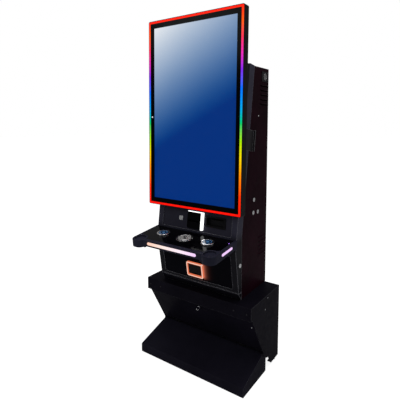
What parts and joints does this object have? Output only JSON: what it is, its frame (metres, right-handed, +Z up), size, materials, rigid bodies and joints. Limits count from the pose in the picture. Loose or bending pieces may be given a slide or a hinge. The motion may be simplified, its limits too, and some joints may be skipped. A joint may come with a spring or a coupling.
{
  "type": "slot machine",
  "caption": "Upright casino slot machine: tall portrait screen with a light frame, sloped button deck, lit payout window, on a low wide base.",
  "frame": {"origin": "on the floor under the middle of the machine's overall outline", "axes": "+Z up, -Y out of the screen towards the player, +X to the player's right"},
  "size_m": [0.7, 0.5834, 1.9288],
  "materials": {
    "cabinet_paint": "black powder coat with a dark maroon sheen, satin",
    "stand_paint": "dark grey-black powder coat, satin",
    "plated_steel": "zinc-plated sheet",
    "black_steel": "blackened steel, oiled",
    "stainless": "polished stainless",
    "bright_chrome": "bright chrome",
    "gloss_black": "gloss black",
    "matte_black": "fine-textured matte black",
    "button_face": "clear cap over a dark blue display",
    "light_guide": "milky light diffuser",
    "coral_light": "lit coral diffuser",
    "smoked": "smoked clear plastic",
    "panel_glass": "clear cover glass",
    "display": "lit display face"
  },
  "bodies": {
    "cabinet": {"cabinet_side_left": "cabinet_paint", "cabinet_side_right": "cabinet_paint", "cabinet_back": "cabinet_paint", "cabinet_base": "cabinet_paint", "stand_side_left": "stand_paint", "stand_side_right": "stand_paint", "stand_top": "stand_paint", "stand_back": "stand_paint", "foot_box": "stand_paint", "levelling_feet": "plated_steel", "hinge_posts": "black_steel", "equipment_shelf": "plated_steel", "game_computer": "plated_steel", "power_inlet": "matte_black", "bill_validator": "matte_black", "cash_box": "matte_black", "ticket_printer": "matte_black", "speakers": "matte_black", "fan_guard": "stainless", "fan_frame": "matte_black", "cover_screws": "black_steel", "side_lock_bodies": "bright_chrome"},
    "front_door": {"main_door": "cabinet_paint", "mid_panel": "cabinet_paint", "belly_panel": "cabinet_paint", "bill_entry": "gloss_black", "bill_light": "light_guide", "printer_bezel": "matte_black", "door_lock_bodies": "bright_chrome", "payout_light": "coral_light", "payout_tray": "matte_black", "deck_shell": "matte_black", "deck_top": "gloss_black", "deck_lights": "light_guide", "deck_cup": "stainless", "button_housings": "bright_chrome", "button_spring_left": "stainless", "button_spring_right": "stainless"},
    "monitor_door": {"screen_door": "cabinet_paint", "door_pull": "stand_paint", "monitor_bracket": "cabinet_paint", "monitor_housing": "matte_black", "led_ring": "light_guide", "monitor_bezel": "gloss_black", "screen_glass": "panel_glass", "lcd_panel": "display"},
    "stand_flap": {"stand_door": "stand_paint", "stand_lock_body": "bright_chrome"},
    "stand_lock": {"stand_lock_plug": "bright_chrome", "stand_key": "bright_chrome"},
    "screen_lock": {"screen_door_plug": "bright_chrome"},
    "main_lock": {"main_door_plug": "bright_chrome"},
    "service_lock": {"service_plug": "bright_chrome"},
    "key_switch": {"key_switch_plug": "bright_chrome"},
    "belly_lock": {"belly_lock_plug": "bright_chrome"},
    "cash_flap": {"payout_flap": "smoked"},
    "left_button": {"button_cap_left": "button_face"},
    "right_button": {"button_cap_right": "button_face"},
    "fan": {"fan_rotor": "matte_black"},
    "rocker": {"power_rocker": "matte_black"}
  },
  "joints": [
    {"name": "screen_door_swing", "type": "hinge", "parent": "cabinet", "child": "monitor_door", "pos_m": [-0.268, 0.05779, 1.25565], "axis": [0, -0.1357, -0.9907], "range_deg": [0, 100]},
    {"name": "main_door_swing", "type": "hinge", "parent": "cabinet", "child": "front_door", "pos_m": [-0.268, -0.006, 0.65], "axis": [0, 0, -1], "range_deg": [0, 100]},
    {"name": "stand_door_drop", "type": "hinge", "parent": "cabinet", "child": "stand_flap", "pos_m": [0, 0.09125, 0.13363], "axis": [1, 0, 0], "range_deg": [0, 60]},
    {"name": "stand_lock_turn", "type": "hinge", "parent": "stand_flap", "child": "stand_lock", "pos_m": [0.005, -0.02926, 0.33877], "axis": [0, -0.8768, -0.4809], "range_deg": [0, 90]},
    {"name": "screen_lock_turn", "type": "hinge", "parent": "cabinet", "child": "screen_lock", "pos_m": [0.2585, 0.117, 0.957], "axis": [1, 0, 0], "range_deg": [0, 90]},
    {"name": "main_lock_turn", "type": "hinge", "parent": "cabinet", "child": "main_lock", "pos_m": [0.2585, 0.111, 0.887], "axis": [1, 0, 0], "range_deg": [0, 90]},
    {"name": "service_lock_turn", "type": "hinge", "parent": "cabinet", "child": "service_lock", "pos_m": [0.2585, 0.164, 0.883], "axis": [1, 0, 0], "range_deg": [0, 90]},
    {"name": "key_switch_turn", "type": "hinge", "parent": "front_door", "child": "key_switch", "pos_m": [-0.1, -0.05254, 0.84079], "axis": [0, -0.9907, 0.1357], "range_deg": [0, 90]},
    {"name": "belly_lock_turn", "type": "hinge", "parent": "front_door", "child": "belly_lock", "pos_m": [0.262, -0.038, 0.638], "axis": [-1, 0, 0], "range_deg": [0, 90]},
    {"name": "payout_flap_swing", "type": "hinge", "parent": "front_door", "child": "cash_flap", "pos_m": [-0.007, -0.05424, 0.58654], "axis": [-1, 0, 0], "range_deg": [0, 75]},
    {"name": "left_button_press", "type": "slide", "parent": "front_door", "child": "left_button", "axis": [0, 0.1045, -0.9945], "range_m": [0, 0.004], "stiffness_N_per_m": 500, "springref_m": -0.001, "deforming": ["button_spring_left"]},
    {"name": "right_button_press", "type": "slide", "parent": "front_door", "child": "right_button", "axis": [0, 0.1045, -0.9945], "range_m": [0, 0.004], "stiffness_N_per_m": 500, "springref_m": -0.001, "deforming": ["button_spring_right"]},
    {"name": "fan_spin", "type": "hinge", "parent": "cabinet", "child": "fan", "pos_m": [0.245, 0.242, 1.621], "axis": [1, 0, 0], "continuous": true},
    {"name": "power_rocker_tilt", "type": "hinge", "parent": "cabinet", "child": "rocker", "pos_m": [-0.15, 0.286, 0.533], "axis": [-1, 0, 0], "range_deg": [0, 18]}
  ]
}
